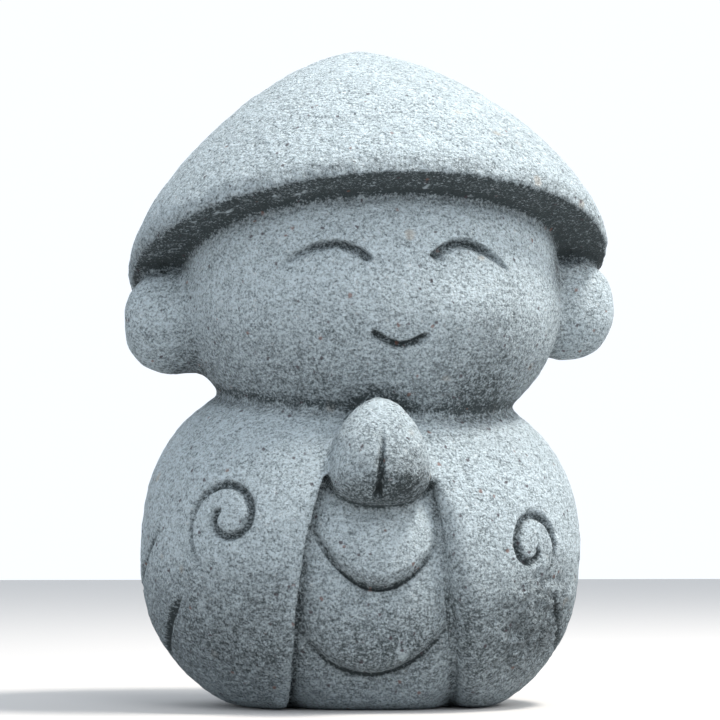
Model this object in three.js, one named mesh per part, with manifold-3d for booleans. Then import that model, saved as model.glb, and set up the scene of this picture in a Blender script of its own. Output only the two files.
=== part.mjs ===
// A small garden jizo, cast in one piece: hat, head, ears, robe, joined hands and a folded front panel.
// Lengths are in millimetres and angles in degrees. +Z is up and the figure looks along -Y.
import * as THREE from "three";
import { mergeVertices } from "three/addons/utils/BufferGeometryUtils.js";
import Module from "manifold-3d";

// Robe: a squat egg that leans a little to one side and is cut flat where it stands
const ROBE_HALF_WIDTH = 36.6;
const ROBE_HALF_DEPTH = 31.5;
const ROBE_WIDEST_HEIGHT = 25.5;
const ROBE_RISE = 30.2;
const ROBE_DROP = 30.3;
const ROBE_LEAN = 2.95;
const ROBE_POWERS = { plan: 2.15, upper: 2.42, lower: 2.3 };
const COLLAR_DROP = 5;

// Head: a wide egg with a full brow and a chin that hangs over the collar
const HEAD_HALF_WIDTH = 31.6;
const FACE_DEPTH = 28;
const NAPE_DEPTH = 27;
const HEAD_RISE = 24;
const HEAD_DROP = 23.6;
const HEAD_POWERS = { plan: 2.1, upper: 3, lower: 2 };
const NECK_SINK = 13.3;
const CHIN_DROP = 6;
const HEAD_SHIFT = 1.75;
const HEAD_FORWARD = 1;
const HEAD_TURN = 2;
const HEAD_LEAN = -1.2;

// Ears: round pads let into the sides of the head
const EAR_HALF_WIDTH = 8.4;
const EAR_HALF_DEPTH = 7;
const EAR_HALF_HEIGHT = 8.9;
const EAR_POWERS = { plan: 2.2, upper: 2.2, lower: 2.2 };
const EAR_BACK = 1;
const LEFT_EAR_STAND = 1.3;
const LEFT_EAR_DROP = 2;
const RIGHT_EAR_STAND = 1.75;
const RIGHT_EAR_DROP = 0.4;

// Hat: a wide cone with a round top and a thick rim, flat below, pushed back on the head
const HAT_HALF_WIDTH = 40.6;
const HAT_HALF_DEPTH = 39.3;
const HAT_HEIGHT = 39;
const HAT_TOP_POWER = 1.31;
const HAT_SIDE_POWER = 1.45;
const HAT_RIM = 2.4;
const HAT_RIM_INSET = 0.4;
const HAT_SEAT = 8.15;
const HAT_BACK = 4.5;
const HAT_SHIFT = 0.4;
const HAT_TILT = 18.9;
const HAT_LEAN = 0.7;
const HAT_TOP_SHIFT = 0.4;

// Front panel: sunk between the two edges of the robe, with hanging folds
const PANEL_LEFT = 13.3;
const PANEL_RIGHT = 13.6;
const PANEL_TOP = 40;
const PANEL_CURVE_START = 10;
const PANEL_LEFT_TAPER = 5.3;
const PANEL_RIGHT_TAPER = 6;
const PANEL_SINK = 3.2;
const PANEL_OVERLAP = 0.6;
const PANEL_BEDDING = 8;
const FOLD_SINK = 0.6;
const FOLD_LIP = 2.2;
const FOLD_CRESTS = 0.8;
const FOLD_SPREAD = 3;
// Fold lines, from the top: heights and sags are shares of the panel's height, middles of its half width
const FOLDS = [
  { height: 0.825, middle: -0.015, sag: 0.354 },
  { height: 0.494, middle: -0.015, sag: 0.354 },
  { height: 0.148, middle: -0.075, sag: 0.23 },
  { height: -0.2, middle: -0.075, sag: 0.133 },
];

// Joined hands: one upright bud held against the chest
const HANDS_HALF_WIDTH = 8.2;
const HANDS_FRONT = 8.5;
const HANDS_BACK = 14;
const HANDS_RISE = 11.6;
const HANDS_DROP = 6;
const HANDS_POWERS = { plan: 2.1, upper: 1.75, lower: 2.5 };
const HANDS_SHIFT = -0.2;
const HANDS_HEIGHT = 38.3;
const HANDS_SINK = 0.6;
const HANDS_LEAN = -8;
const PALMS_TOP = 6.5;
const PALMS_BOTTOM = 5.5;
const PALMS_SWAY = 0.9;

// Carved lines: width and depth of the groove, then where each one runs
const LINE_WIDTH = 1.5;
const LINE_DEPTH = 0.75;
const LINE_END_RISE = 0.6;

// Eyes and mouth: places, reaches and drops are shares of the head's half width, measured from its middle
const EYES = [
  { peak: [-0.316, 0.266], inner: [0.193, 0.095], outer: [0.282, 0.123], side: -1 },
  { peak: [0.335, 0.266], inner: [0.165, 0.085], outer: [0.266, 0.158], side: 1 },
];
const MOUTH = { peak: [0.013, -0.247], inner: [0.136, -0.051], outer: [0.142, -0.066], side: -1 };

// Lines on the robe: bearings in degrees from the front, heights and radii as shares of the robe's height
const SWIRLS = [
  {
    bearing: -44.4, height: 0.537, side: -1, coil: 0.059, tail: 0.183, open: 0.5, bend: 25,
    from: 150, to: 615, power: 3.4,
  },
  {
    bearing: 47, height: 0.51, side: 1, coil: 0.072, tail: 0.174, open: 0.2, bend: 30,
    from: -133, to: 267, power: 7.5,
  },
];
const SLEEVE_LINES = [
  { from: [-70, 0.503], to: [-98, 0.305], bow: 0.045 },
  { from: [-60, 0.305], to: [-92, 0.117], bow: 0.045 },
  { from: [57, 0.368], to: [88, 0.153], bow: 0.045 },
  { from: [74, 0.503], to: [100, 0.305], bow: 0.045 },
];
const BACK_LINES = [
  { from: [150, 0.467], to: [210, 0.467], bow: 0.09 },
  { from: [146, 0.251], to: [214, 0.251], bow: 0.09 },
];

// Working values
const GROUND_BLOCK = 200;
const FAR = 120;
const HALVINGS = 40;
const STONE_GREY = 0xa3adb2;

const wasm = await Module();
wasm.setup();

const radians = THREE.MathUtils.degToRad;
const ROBE_TOP = ROBE_WIDEST_HEIGHT + ROBE_RISE;
const HEAD_HEIGHT = ROBE_TOP + HEAD_DROP - NECK_SINK;

const robeSize = {
  width: ROBE_HALF_WIDTH, front: ROBE_HALF_DEPTH, back: ROBE_HALF_DEPTH,
  up: ROBE_RISE, down: ROBE_DROP, ...ROBE_POWERS,
};
const headSize = {
  width: HEAD_HALF_WIDTH, front: FACE_DEPTH, back: NAPE_DEPTH,
  up: HEAD_RISE, down: HEAD_DROP, ...HEAD_POWERS,
};
const earSize = {
  width: EAR_HALF_WIDTH, front: EAR_HALF_DEPTH, back: EAR_HALF_DEPTH,
  up: EAR_HALF_HEIGHT, down: EAR_HALF_HEIGHT, ...EAR_POWERS,
};
const handsSize = {
  width: HANDS_HALF_WIDTH, front: HANDS_FRONT, back: HANDS_BACK,
  up: HANDS_RISE, down: HANDS_DROP, ...HANDS_POWERS,
};

// An egg's level at a point measured from its middle: below 1 inside, 1 on the surface
function eggLevel(point, size) {
  const x = Math.abs(point.x) / size.width;
  const y = Math.abs(point.y) / (point.y < 0 ? size.front : size.back);
  const z = Math.abs(point.z) / (point.z > 0 ? size.up : size.down);
  const power = point.z > 0 ? size.upper : size.lower;
  const plan = (x ** size.plan + y ** size.plan) ** (1 / size.plan);
  return (plan ** power + z ** power) ** (1 / power);
}

const share = (value) => THREE.MathUtils.clamp(value, 0, 1);

// The front of the shoulders drops away under the chin
function robeLevel(point) {
  const drop = COLLAR_DROP * share(-point.y / robeSize.front) * share(point.z / robeSize.up);
  return eggLevel({ x: point.x, y: point.y, z: point.z + drop }, robeSize);
}

// The front of the jaw hangs lower than its sides
function headLevel(point) {
  const drop = CHIN_DROP * share(-point.y / headSize.front) * share(-point.z / headSize.down);
  return eggLevel({ x: point.x, y: point.y, z: point.z + drop }, headSize);
}

const earLevel = (point) => eggLevel(point, earSize);
const handsLevel = (point) => eggLevel(point, handsSize);

// How far a surface lies along a way from a start, found by halving
function reach(level, way, start = new THREE.Vector3()) {
  let near = 0;
  let far = FAR;
  for (let i = 0; i < HALVINGS; i++) {
    const middle = (near + far) / 2;
    if (level(way.clone().multiplyScalar(middle).add(start)) < 1) near = middle;
    else far = middle;
  }
  return (near + far) / 2;
}

// A closed round form: a sphere whose points are moved out to the surface
function roundForm(level, around, rings) {
  const form = new THREE.SphereGeometry(1, around, rings).rotateX(Math.PI / 2);
  const points = form.attributes.position;
  const way = new THREE.Vector3();
  for (let i = 0; i < points.count; i++) {
    way.fromBufferAttribute(points, i).normalize();
    way.multiplyScalar(reach(level, way));
    points.setXYZ(i, way.x, way.y, way.z);
  }
  return form;
}

function solid(geometry, place = new THREE.Matrix4()) {
  const bare = geometry.clone().applyMatrix4(place);
  bare.deleteAttribute("normal");
  bare.deleteAttribute("uv");
  const merged = mergeVertices(bare, 1e-4);
  return new wasm.Manifold(
    new wasm.Mesh({
      numProp: 3,
      vertProperties: merged.attributes.position.array,
      triVerts: new Uint32Array(merged.index.array),
    }),
  );
}

const moved = (x, y, z) => new THREE.Matrix4().makeTranslation(x, y, z);
const turnedX = (angle) => new THREE.Matrix4().makeRotationX(radians(angle));
const turnedY = (angle) => new THREE.Matrix4().makeRotationY(radians(angle));
const turnedZ = (angle) => new THREE.Matrix4().makeRotationZ(radians(angle));

function chain(...steps) {
  return steps.reduce((all, step) => all.multiply(step), new THREE.Matrix4());
}

const robePlace = chain(moved(0, 0, ROBE_WIDEST_HEIGHT), turnedY(ROBE_LEAN));
const headPlace = chain(moved(HEAD_SHIFT, 0, HEAD_HEIGHT), turnedZ(HEAD_TURN), turnedY(HEAD_LEAN));
const facePlace = chain(headPlace, moved(0, -HEAD_FORWARD, 0));
const hatSeat = chain(headPlace, moved(HAT_SHIFT, HAT_BACK, HAT_SEAT));
const hatPlace = chain(hatSeat, turnedY(-HAT_LEAN), turnedX(-HAT_TILT));

function robe() {
  return solid(roundForm(robeLevel, 48, 28), robePlace);
}

function head() {
  return solid(roundForm(headLevel, 42, 24), facePlace);
}

function ear(side, stand, drop) {
  const out = side * (HEAD_HALF_WIDTH + stand);
  return solid(roundForm(earLevel, 18, 12), chain(headPlace, moved(out, EAR_BACK, -drop)));
}

function hatProfile() {
  const profile = [new THREE.Vector2(0, -HAT_RIM)];
  profile.push(new THREE.Vector2(HAT_HALF_WIDTH - HAT_RIM_INSET, -HAT_RIM));
  const domeSteps = 12;
  for (let i = domeSteps; i >= 0; i--) {
    const out = Math.sin((i / domeSteps) * (Math.PI / 2));
    const rise = (1 - out ** HAT_TOP_POWER) ** (1 / HAT_SIDE_POWER);
    profile.push(new THREE.Vector2(out * HAT_HALF_WIDTH, rise * HAT_HEIGHT));
  }
  return profile;
}

function hat() {
  const form = new THREE.LatheGeometry(hatProfile(), 56).rotateX(Math.PI / 2);
  form.scale(1, HAT_HALF_DEPTH / HAT_HALF_WIDTH, 1);
  const points = form.attributes.position;
  for (let i = 0; i < points.count; i++) {
    const rise = Math.max(points.getZ(i), 0);
    points.setX(i, points.getX(i) + (HAT_TOP_SHIFT * rise) / HAT_HEIGHT);
  }
  return solid(form, hatPlace);
}

const robeFromWorld = robePlace.clone().invert();
const robeLevelInWorld = (point) => robeLevel(point.clone().applyMatrix4(robeFromWorld));

// The robe's front at a place across and up, before the panel is sunk in
function robeFront(x, z) {
  return -reach(robeLevelInWorld, new THREE.Vector3(0, -1, 0), new THREE.Vector3(x, 0, z));
}

const PANEL_CURVE_RISE = PANEL_TOP - PANEL_CURVE_START;

function panelLeft(z) {
  const up = share((z - PANEL_CURVE_START) / PANEL_CURVE_RISE);
  return PANEL_LEFT_TAPER * up * up - PANEL_LEFT;
}

function panelRight(z) {
  return PANEL_RIGHT - (PANEL_RIGHT_TAPER * z) / PANEL_TOP;
}

// The cutter for the sunk panel, drawn from the front and run back into the robe
function panelCutter() {
  const below = foldLine(FOLDS.at(-1), 0);
  const outline = new THREE.Shape();
  outline.moveTo(panelLeft(0), below);
  outline.lineTo(panelRight(below), below);
  outline.lineTo(panelRight(PANEL_TOP), PANEL_TOP);
  outline.lineTo(panelLeft(PANEL_TOP), PANEL_TOP);
  const bend = PANEL_CURVE_START + PANEL_CURVE_RISE / 2;
  outline.quadraticCurveTo(-PANEL_LEFT, bend, -PANEL_LEFT, PANEL_CURVE_START);
  const cutter = new THREE.ExtrudeGeometry(outline, { depth: FAR, bevelEnabled: false, curveSegments: 6 });
  return solid(cutter, chain(moved(0, -PANEL_BEDDING, 0), turnedX(90)));
}

function foldLine(fold, x) {
  const across = x / PANEL_LEFT - fold.middle;
  return PANEL_TOP * (fold.height + fold.sag * across * across);
}

// How deep the panel lies at a share of the way down a fold: deep at its top, proud near its lip
function foldSink(down, drop) {
  const crest = Math.sin((share(down / FOLD_CRESTS) * Math.PI) / 2);
  const proud = PANEL_SINK + (FOLD_SINK - PANEL_SINK) * crest;
  const toLip = share(((1 - down) * drop) / FOLD_LIP);
  const round = 1 - Math.sqrt(1 - (1 - toLip) ** 2);
  return proud + (PANEL_SINK - proud) * round;
}

const FOLD_ROWS = [0, 0.12, 0.28, 0.46, 0.64, 0.78, 0.86, 0.92, 0.97];

// The panel's rows, from the top: each follows the fold line that it lies near
function panelRows() {
  const rows = [{ height: () => PANEL_TOP, sink: PANEL_SINK }];
  for (let i = 0; i + 1 < FOLDS.length; i++) {
    const drop = PANEL_TOP * (FOLDS[i].height - FOLDS[i + 1].height);
    for (const down of FOLD_ROWS) {
      const height = (x) => foldLine(FOLDS[i], x) * (1 - down) + foldLine(FOLDS[i + 1], x) * down;
      rows.push({ height, sink: foldSink(down, drop) });
    }
  }
  rows.push({ height: (x) => foldLine(FOLDS.at(-1), x), sink: PANEL_SINK });
  return rows;
}

// Each fold swells in its middle and sinks towards the panel's two edges
function panel() {
  const rows = panelRows();
  const form = new THREE.BoxGeometry(1, 1, 1, 12, 1, rows.length - 1);
  const points = form.attributes.position;
  for (let i = 0; i < points.count; i++) {
    const row = rows[Math.round((0.5 - points.getZ(i)) * (rows.length - 1))];
    const level = row.height(0);
    const across = points.getX(i) + 0.5;
    const left = panelLeft(level) - PANEL_OVERLAP;
    const x = THREE.MathUtils.lerp(left, panelRight(level) + PANEL_OVERLAP, across);
    const z = Math.min(row.height(x), PANEL_TOP);
    const proud = (PANEL_SINK - row.sink) * (1 - Math.abs(2 * across - 1) ** FOLD_SPREAD);
    const y = points.getY(i) > 0 ? 0 : robeFront(x, Math.max(z, 0)) + PANEL_SINK - proud;
    points.setXYZ(i, x, y, z);
  }
  return solid(form);
}

const handsFront = robeFront(HANDS_SHIFT, HANDS_HEIGHT) + HANDS_SINK;
const handsPlace = chain(moved(HANDS_SHIFT, handsFront, HANDS_HEIGHT), turnedX(HANDS_LEAN));

function hands() {
  return solid(roundForm(handsLevel, 20, 14), handsPlace);
}

// The way out of a surface at a point
function outward(level, point) {
  const step = 0.05;
  const slope = ["x", "y", "z"].map((axis) => {
    const ahead = point.clone();
    const behind = point.clone();
    ahead[axis] += step;
    behind[axis] -= step;
    return level(ahead) - level(behind);
  });
  return new THREE.Vector3(...slope).normalize();
}

// A round cutter along points of a surface: it rises out of the surface at the line's two ends
function line(points, level, place, width = LINE_WIDTH, depth = LINE_DEPTH) {
  const radius = (width * width) / (8 * depth) + depth / 2;
  const last = points.length - 1;
  const centres = points.map((point, i) => {
    const end = 1 - share(Math.min(i, last - i) / 2);
    return point.clone().addScaledVector(outward(level, point), radius - depth + end * LINE_END_RISE);
  });
  const section = new THREE.Shape();
  const sides = 6;
  for (let i = 0; i < sides; i++) {
    const turn = ((i + 0.5) / sides) * Math.PI * 2;
    const x = radius * Math.cos(turn);
    const y = radius * Math.sin(turn);
    if (i === 0) section.moveTo(x, y);
    else section.lineTo(x, y);
  }
  const path = new THREE.CatmullRomCurve3(centres);
  const tube = new THREE.ExtrudeGeometry(section, { extrudePath: path, steps: last, bevelEnabled: false });
  return solid(tube, place);
}

// A point of the face under a place on the flat drawing of it
function onFace(x, z) {
  const start = new THREE.Vector3(x, 0, z);
  const way = new THREE.Vector3(0, -1, 0);
  return way.clone().multiplyScalar(reach(headLevel, way, start)).add(start);
}

// An arch from its outer end, over its peak, to its inner end
function arch({ peak, inner, outer, side }, steps = 12) {
  const points = [];
  for (let i = 0; i <= steps; i++) {
    const along = (2 * i) / steps - 1;
    const [width, drop] = along < 0 ? outer : inner;
    const x = peak[0] - side * along * width;
    const z = peak[1] - drop * along * along;
    points.push(onFace(x * HEAD_HALF_WIDTH, z * HEAD_HALF_WIDTH));
  }
  return line(points, headLevel, facePlace);
}

// A point of the robe at a bearing from the front and a share of the robe's height
function onRobe(bearing, height) {
  const turn = radians(bearing);
  const way = new THREE.Vector3(Math.sin(turn), -Math.cos(turn), 0);
  const start = new THREE.Vector3(0, 0, height * ROBE_TOP - ROBE_WIDEST_HEIGHT);
  return way.clone().multiplyScalar(reach(robeLevel, way, start)).add(start);
}

function swirl(shape, steps = 27) {
  const middle = onRobe(shape.bearing, shape.height);
  const around = Math.hypot(middle.x, middle.y);
  const points = [];
  for (let i = 0; i <= steps; i++) {
    const gone = i / steps;
    const turn = THREE.MathUtils.lerp(shape.from, shape.to, gone);
    const opening = 1 - (1 - shape.open) * Math.exp((shape.from - turn) / shape.bend);
    const radius = shape.coil * opening + (shape.tail - shape.coil) * gone ** shape.power;
    const across = -shape.side * radius * Math.cos(radians(turn)) * ROBE_TOP;
    const bearing = shape.bearing + THREE.MathUtils.radToDeg(across / around);
    points.push(onRobe(bearing, shape.height + radius * Math.sin(radians(turn))));
  }
  return line(points, robeLevel, robePlace);
}

// A bowed line round the robe between two places given as bearing and height
function bowedLine({ from, to, bow }, steps = 10) {
  const points = [];
  for (let i = 0; i <= steps; i++) {
    const gone = i / steps;
    const height = THREE.MathUtils.lerp(from[1], to[1], gone) - bow * Math.sin(gone * Math.PI);
    points.push(onRobe(THREE.MathUtils.lerp(from[0], to[0], gone), height));
  }
  return line(points, robeLevel, robePlace);
}

// The cleft between the palms, from the chest side of the wrists up to the fingers
function palms() {
  const points = [];
  const steps = 8;
  for (let i = 0; i <= steps; i++) {
    const gone = i / steps;
    const z = THREE.MathUtils.lerp(PALMS_TOP, -PALMS_BOTTOM, gone);
    const start = new THREE.Vector3(-PALMS_SWAY * Math.sqrt(gone), 0, z);
    const way = new THREE.Vector3(0, -1, 0);
    points.push(way.clone().multiplyScalar(reach(handsLevel, way, start)).add(start));
  }
  return line(points, handsLevel, handsPlace);
}

function groundBlock() {
  const block = new THREE.BoxGeometry(GROUND_BLOCK, GROUND_BLOCK, GROUND_BLOCK);
  return solid(block, moved(0, 0, -GROUND_BLOCK / 2));
}

function statue() {
  let body = robe().subtract(panelCutter()).add(panel());
  for (const shape of SWIRLS) body = body.subtract(swirl(shape));
  for (const shape of [...SLEEVE_LINES, ...BACK_LINES]) body = body.subtract(bowedLine(shape));
  let top = head().add(hat());
  top = top.add(ear(-1, LEFT_EAR_STAND, LEFT_EAR_DROP)).add(ear(1, RIGHT_EAR_STAND, RIGHT_EAR_DROP));
  for (const shape of [...EYES, MOUTH]) top = top.subtract(arch(shape));
  return body.add(top).add(hands()).subtract(palms()).subtract(groundBlock());
}

function geometryOf(made) {
  const mesh = made.getMesh();
  const geometry = new THREE.BufferGeometry();
  geometry.setAttribute("position", new THREE.BufferAttribute(mesh.vertProperties, 3));
  geometry.setIndex(new THREE.BufferAttribute(mesh.triVerts, 1));
  geometry.computeVertexNormals();
  return geometry;
}

const stoneResin = new THREE.MeshStandardMaterial({ color: STONE_GREY, roughness: 0.9, metalness: 0 });
const figure = new THREE.Mesh(geometryOf(statue()), stoneResin);
figure.name = "jizo_statue";

// The origin is on the ground under the middle of the figure's box
figure.geometry.computeBoundingBox();
const middle = figure.geometry.boundingBox.getCenter(new THREE.Vector3());
figure.position.set(-middle.x, -middle.y, 0);

const part = new THREE.Group();
part.add(figure);
export default part;
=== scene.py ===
# %% [markdown]
# # A small jizo cast in stone resin
# The real thing is a palm-sized garden figure: a mould is filled with resin and crushed stone, so hat,
# head, robe and hands come out as one lump with a rough granite skin. The lesson makes it the way a carver
# would plan it: plain round masses first, then folds and lines, then the grain, and the colour last.

# %% Load the frame
import math

import bmesh
import bpy
import numpy as np
import openvdb
from mathutils import Matrix, Vector, noise
from mathutils.kdtree import KDTree


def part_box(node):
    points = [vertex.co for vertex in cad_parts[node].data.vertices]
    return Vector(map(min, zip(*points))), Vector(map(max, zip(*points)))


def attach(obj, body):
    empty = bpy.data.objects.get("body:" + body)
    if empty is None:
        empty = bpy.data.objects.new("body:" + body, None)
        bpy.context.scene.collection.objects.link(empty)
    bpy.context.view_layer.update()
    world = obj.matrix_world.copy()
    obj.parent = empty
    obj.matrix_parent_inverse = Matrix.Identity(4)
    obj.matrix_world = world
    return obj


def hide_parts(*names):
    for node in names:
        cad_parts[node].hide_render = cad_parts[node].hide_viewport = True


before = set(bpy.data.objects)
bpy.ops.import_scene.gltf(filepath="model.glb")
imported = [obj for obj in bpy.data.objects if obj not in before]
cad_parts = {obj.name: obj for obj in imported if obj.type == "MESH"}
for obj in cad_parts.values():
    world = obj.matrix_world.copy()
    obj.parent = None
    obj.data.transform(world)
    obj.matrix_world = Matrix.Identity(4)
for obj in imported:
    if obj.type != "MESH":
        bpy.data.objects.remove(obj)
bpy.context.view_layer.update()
low, high = (np.array(corner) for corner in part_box("jizo_statue"))
MM = 0.001
print("solid to dress, mm:", np.round((high - low) / MM, 1))

# %% [markdown]
# ## Camera
# The photo looks slightly up at the figure, from a little left of straight ahead as the viewer sees it, and
# through a long lens, so that the near hands are hardly larger than the far ears. A long lens half a metre
# away gives the same flat look.

# %% Camera
CAMERA_BEARING = -6.5
CAMERA_RISE = -3.4
CAMERA_DISTANCE = 500.0
CAMERA_LENS = 150.0
CAMERA_FILM = 36.0
CAMERA_TARGET = (-2.01, -2.49, 57.18)
FIGURE_MIDDLE = (0.0, 0.0, 55.0)


def aim(thing, place, target):
    thing.location = [value * MM for value in place]
    ahead = Vector(target) - Vector(place)
    thing.rotation_euler = ahead.to_track_quat("-Z", "Y").to_euler()


def around(bearing, rise, distance, target=FIGURE_MIDDLE):
    """A place seen from the target at a bearing from the front and an angle above level, in mm."""
    turn, lift = math.radians(bearing), math.radians(rise)
    level = math.cos(lift)
    out = Vector((math.sin(turn) * level, -math.cos(turn) * level, math.sin(lift)))
    return Vector(target) + out * distance


camera = bpy.data.objects.new("camera", bpy.data.cameras.new("camera"))
camera.data.lens = CAMERA_LENS
camera.data.sensor_width = CAMERA_FILM
bpy.context.collection.objects.link(camera)
aim(camera, around(CAMERA_BEARING, CAMERA_RISE, CAMERA_DISTANCE, CAMERA_TARGET), CAMERA_TARGET)
bpy.context.scene.camera = camera
print("camera at, mm:", np.round(np.array(camera.location) / MM, 1))

# %% [markdown]
# ## Sizes
# These are the solid's own sizes, in millimetres, because the finished skin has to lie on the solid. Every
# round mass is an egg: half a width, a front and a back depth, a rise and a drop, and powers that square it
# up.

# %% Sizes
ROBE = dict(width=36.6, front=31.5, back=31.5, up=30.2, down=30.3, plan=2.15, upper=2.42, lower=2.3)
ROBE_WIDEST_HEIGHT = 25.5
ROBE_LEAN = 2.95
COLLAR_DROP = 5.0
HEAD = dict(width=31.6, front=28.0, back=27.0, up=24.0, down=23.6, plan=2.1, upper=3.0, lower=2.0)
NECK_SINK = 13.3
CHIN_DROP = 6.0
HEAD_SHIFT, HEAD_FORWARD = 1.75, 1.0
HEAD_TURN, HEAD_LEAN = 2.0, -1.2
EAR = dict(width=8.4, front=7.0, back=7.0, up=8.9, down=8.9, plan=2.2, upper=2.2, lower=2.2)
EAR_BACK = 1.0
LEFT_EAR = dict(side=-1, stand=1.3, drop=2.0, blend=3.0)
RIGHT_EAR = dict(side=1, stand=1.75, drop=0.4, blend=1.6)
HAT_HALF_WIDTH, HAT_HALF_DEPTH, HAT_HEIGHT = 40.6, 39.3, 39.0
HAT_TOP_POWER, HAT_SIDE_POWER = 1.31, 1.45
HAT_RIM, HAT_RIM_INSET = 2.4, 0.4
HAT_SEAT, HAT_BACK, HAT_SHIFT = 8.15, 4.5, 0.4
HAT_TILT, HAT_LEAN, HAT_TOP_SHIFT = 18.9, 0.7, 0.4
HANDS = dict(width=8.2, front=8.5, back=14.0, up=11.6, down=6.0, plan=2.1, upper=1.75, lower=2.5)
HANDS_SHIFT, HANDS_HEIGHT, HANDS_SINK, HANDS_LEAN = -0.2, 38.3, 0.6, -8.0
ROBE_TOP = ROBE_WIDEST_HEIGHT + ROBE["up"]
HEAD_HEIGHT = ROBE_TOP + HEAD["down"] - NECK_SINK
TINY = 1e-6
print("robe top and middle of the head, mm:", ROBE_TOP, round(HEAD_HEIGHT, 1))

# %% [markdown]
# ## Places
# The robe leans a little, and the head is turned and tipped on it, with ears and hat riding on the head.
# Each mass gets its own matrix, and a point of the figure is carried back into the mass before it is
# measured.


# %% Places
def moved(x, y, z):
    return Matrix.Translation((x, y, z))


def turned(axis, angle):
    return Matrix.Rotation(math.radians(angle), 4, axis)


robe_place = moved(0, 0, ROBE_WIDEST_HEIGHT) @ turned("Y", ROBE_LEAN)
head_place = moved(HEAD_SHIFT, 0, HEAD_HEIGHT) @ turned("Z", HEAD_TURN) @ turned("Y", HEAD_LEAN)
face_place = head_place @ moved(0, -HEAD_FORWARD, 0)
hat_seat = head_place @ moved(HAT_SHIFT, HAT_BACK, HAT_SEAT)
hat_place = hat_seat @ turned("Y", -HAT_LEAN) @ turned("X", -HAT_TILT)


def carried(points, place):
    """Points taken through a matrix."""
    grid = np.array(place)
    return points @ grid[:3, :3].T + grid[:3, 3]


def back_into(points, place):
    return carried(points, place.inverted())


print("head and hat stand at, mm:", *(np.round(place.translation, 1) for place in (head_place, hat_place)))

# %% [markdown]
# ## Round masses
# A level tells how far out a point is: 1 on the skin, less inside. An egg's level takes any power, so the
# same formula gives the squat robe, the full brow and the bud of the joined hands. Levels turn into
# distances in millimetres near the skin, and distances can be joined with soft seams, as wet clay is.


# %% Round masses
def share(value):
    return np.clip(value, 0.0, 1.0)


def egg_level(points, size):
    x = np.abs(points[:, 0]) / size["width"]
    y = np.abs(points[:, 1]) / np.where(points[:, 1] < 0, size["front"], size["back"])
    z = np.abs(points[:, 2]) / np.where(points[:, 2] > 0, size["up"], size["down"])
    power = np.where(points[:, 2] > 0, size["upper"], size["lower"])
    plan = (x ** size["plan"] + y ** size["plan"]) ** (1 / size["plan"])
    return (plan**power + z**power) ** (1 / power)


def distance(level, points):
    """Millimetres from the skin, negative inside, along the ray from the middle of the mass."""
    return np.linalg.norm(points, axis=1) * (1 - 1 / np.maximum(level, TINY))


def robe_level(points):
    drop = COLLAR_DROP * share(-points[:, 1] / ROBE["front"]) * share(points[:, 2] / ROBE["up"])
    return egg_level(points + drop[:, None] * (0, 0, 1), ROBE)


def head_level(points):
    drop = CHIN_DROP * share(-points[:, 1] / HEAD["front"]) * share(-points[:, 2] / HEAD["down"])
    return egg_level(points + drop[:, None] * (0, 0, 1), HEAD)


def soft_join(a, b, seam):
    near = np.maximum(seam - np.abs(a - b), 0) / seam
    return np.minimum(a, b) - near * near * seam / 4


def soft_cut(a, b, seam):
    return -soft_join(-a, b, seam)


print("level at the robe's back and at its middle:", robe_level(np.array([[0, ROBE["back"], 0], [0, 0, 0]])))

# %% [markdown]
# ## Hat
# The hat is a wide straw cone as pilgrims wear, here with a rounded tip and a thick rim, flat below. It is
# turned like a bowl on a lathe, so one profile is enough: the distance to that profile is worked out once
# on a small table and looked up for every point, which is quicker than measuring the outline again and
# again. Averaging the table with its neighbours rounds the rim's corners, as the cast's are.


# %% Hat
PROFILE_STEPS = 48
TABLE_STEP = 0.25
TABLE_WIDE, TABLE_LOW, TABLE_HIGH = 60.0, -14.0, 56.0
RIM_BLURS = 2


def hat_outline():
    out = np.sin(np.linspace(0, math.pi / 2, PROFILE_STEPS))
    top = HAT_HEIGHT * (1 - out**HAT_TOP_POWER) ** (1 / HAT_SIDE_POWER)
    rim = [[HAT_HALF_WIDTH - HAT_RIM_INSET, -HAT_RIM], [0, -HAT_RIM]]
    half = np.r_[np.c_[out * HAT_HALF_WIDTH, top], rim]
    return np.r_[half, (half * (-1, 1))[::-1]]


def distance_to_outline(x, y, outline):
    nearest = np.full(x.shape, np.inf)
    inside = np.zeros(x.shape, bool)
    for (ax, ay), (bx, by) in zip(outline, np.roll(outline, -1, axis=0)):
        ex, ey = bx - ax, by - ay
        if math.hypot(ex, ey) < TINY:
            continue
        along = np.clip(((x - ax) * ex + (y - ay) * ey) / (ex * ex + ey * ey), 0, 1)
        nearest = np.minimum(nearest, (x - ax - ex * along) ** 2 + (y - ay - ey * along) ** 2)
        if ey != 0:
            inside ^= ((ay > y) != (by > y)) & (x < ex * (y - ay) / ey + ax)
    return np.where(inside, -1, 1) * np.sqrt(nearest)


outs, ups = np.arange(0, TABLE_WIDE, TABLE_STEP), np.arange(TABLE_LOW, TABLE_HIGH, TABLE_STEP)
hat_table = distance_to_outline(*np.meshgrid(outs, ups, indexing="ij"), hat_outline())
for _ in range(RIM_BLURS):
    wide = np.pad(hat_table, 2, mode="reflect")
    hat_table = (wide[4:, 2:-2] + wide[:-4, 2:-2] + wide[2:-2, 4:] + wide[2:-2, :-4]) / 4
print("hat table:", hat_table.shape)


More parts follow.
